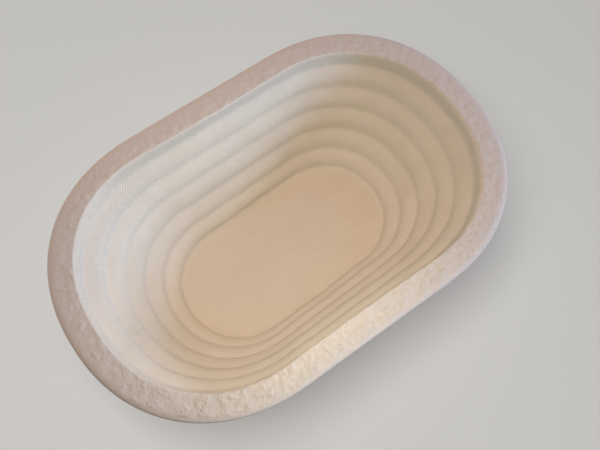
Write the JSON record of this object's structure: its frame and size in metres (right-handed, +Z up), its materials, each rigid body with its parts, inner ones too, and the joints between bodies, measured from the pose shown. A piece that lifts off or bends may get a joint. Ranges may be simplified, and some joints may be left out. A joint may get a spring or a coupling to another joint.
{
  "type": "proofing basket",
  "caption": "Oval proofing basket moulded in one piece from wood pulp, with flared ribbed walls, a flat floor and a broad flat rim, for shaping and turning out bread dough.",
  "frame": {"origin": "middle of the resting face, on the surface that the basket stands on", "axes": "+X along the basket's length, +Y across it, +Z up out of its mouth"},
  "size_m": [0.28, 0.183, 0.082],
  "materials": {
    "moulded_pulp": "matte"
  },
  "bodies": {
    "root": {"pulp_basket": "moulded_pulp"}
  },
  "joints": []
}
